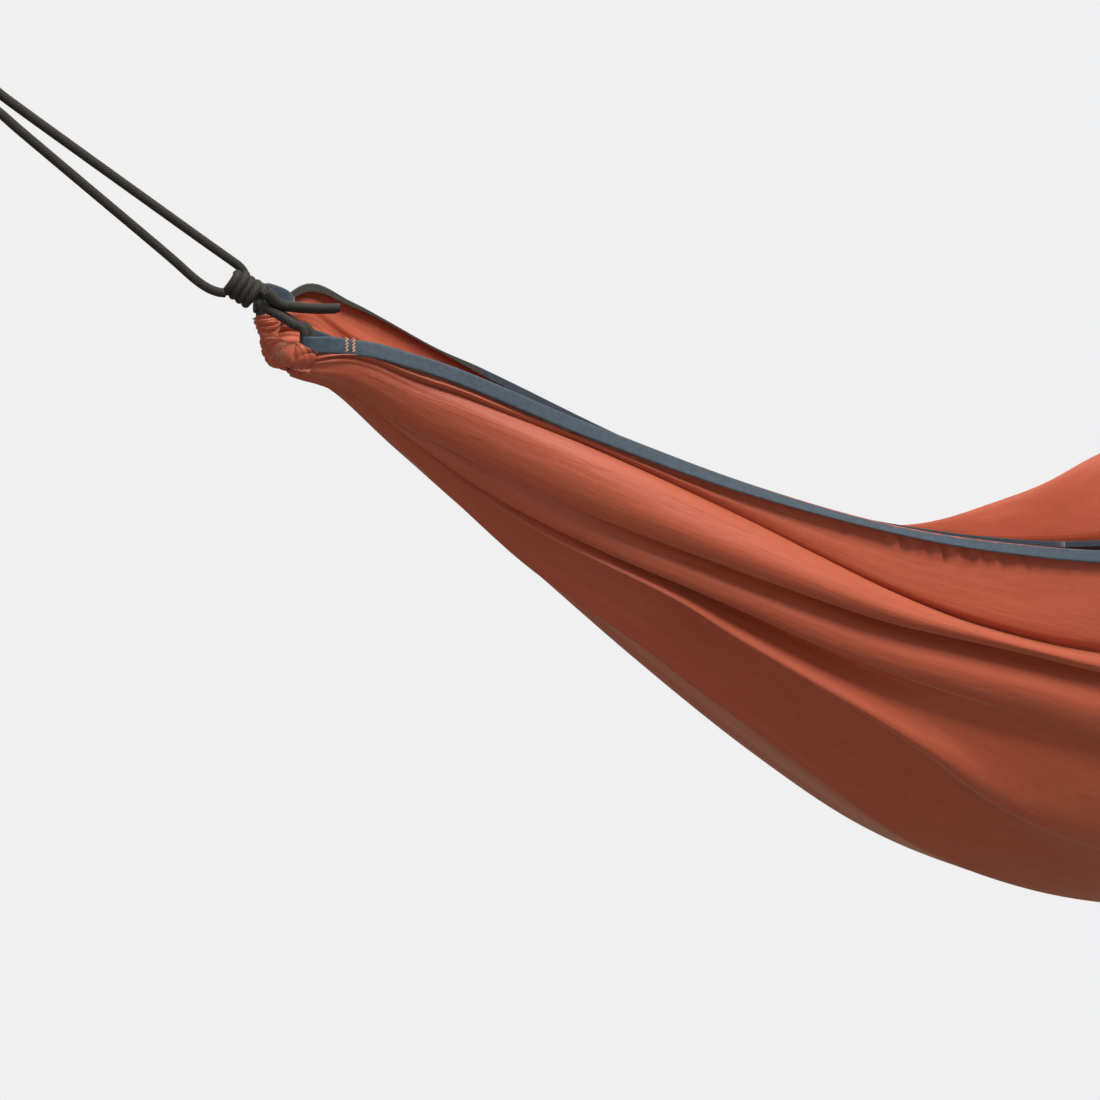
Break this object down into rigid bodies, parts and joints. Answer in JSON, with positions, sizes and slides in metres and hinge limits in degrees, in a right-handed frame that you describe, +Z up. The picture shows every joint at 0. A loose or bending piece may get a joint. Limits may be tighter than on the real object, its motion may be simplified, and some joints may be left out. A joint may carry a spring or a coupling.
{
  "type": "camping hammock",
  "caption": "Gathered-end camping hammock of woven fabric with taped edges, cinched on rope and hung from two snap hooks.",
  "frame": {"origin": "inside of the left hook's upper bow, where the anchor strap bears", "axes": "+X from the left anchor to the right anchor, -Y the near side, +Z up"},
  "size_m": [2.951, 0.509, 0.8221],
  "materials": {
    "fabric": "terracotta orange plain-woven polyester, soft matt sheen",
    "edge_tape": "steel-blue woven webbing tape",
    "rope": "charcoal olive braided rope",
    "bartack_thread": "orange bar-tack thread",
    "steel": "zinc-plated steel"
  },
  "bodies": {
    "left_hook_body": {"left_hook": "steel", "left_gate_pin": "steel"},
    "left_gate_body": {"left_gate": "steel", "left_gate_spring": "steel"},
    "bed": {"bed_panel": "fabric", "near_edge_tape": "edge_tape", "far_edge_tape": "edge_tape", "left_end_channel": "fabric", "near_left_bartack": "bartack_thread", "far_left_bartack": "bartack_thread", "left_hang_loop": "rope", "left_knot": "rope", "left_cinch_rope_front": "rope", "left_cinch_rope_rear": "rope", "left_tail_front": "rope", "left_tail_rear": "rope", "right_end_channel": "fabric", "near_right_bartack": "bartack_thread", "far_right_bartack": "bartack_thread", "right_hang_loop": "rope", "right_knot": "rope", "right_cinch_rope_front": "rope", "right_cinch_rope_rear": "rope", "right_tail_front": "rope", "right_tail_rear": "rope"},
    "right_hook_body": {"right_hook": "steel", "right_gate_pin": "steel"},
    "right_gate_body": {"right_gate": "steel", "right_gate_spring": "steel"}
  },
  "joints": [
    {"name": "bed_swing", "type": "hinge", "parent": "left_hook_body", "child": "bed", "pos_m": [0.04272, 0, -0.02785], "axis": [1, 0, 0], "range_deg": [-20, 20]},
    {"name": "right_hook_turn", "type": "hinge", "parent": "bed", "child": "right_hook_body", "pos_m": [2.89728, 0, -0.02785], "axis": [1, 0, 0], "range_deg": [-20, 20]},
    {"name": "left_gate_hinge", "type": "hinge", "parent": "left_hook_body", "child": "left_gate_body", "pos_m": [0.02848, 0.012, -0.01857], "axis": [0.5461, 0, 0.8377], "range_deg": [0, 22], "stiffness_Nm_per_rad": 0.25, "springref_deg": -8.59},
    {"name": "right_gate_hinge", "type": "hinge", "parent": "right_hook_body", "child": "right_gate_body", "pos_m": [2.91152, 0.012, -0.01857], "axis": [0.5461, 0, -0.8377], "range_deg": [0, 22], "stiffness_Nm_per_rad": 0.25, "springref_deg": -8.59}
  ],
  "couplings": [
    {"joint": "right_hook_turn", "follows": "bed_swing", "ratio": -1}
  ]
}
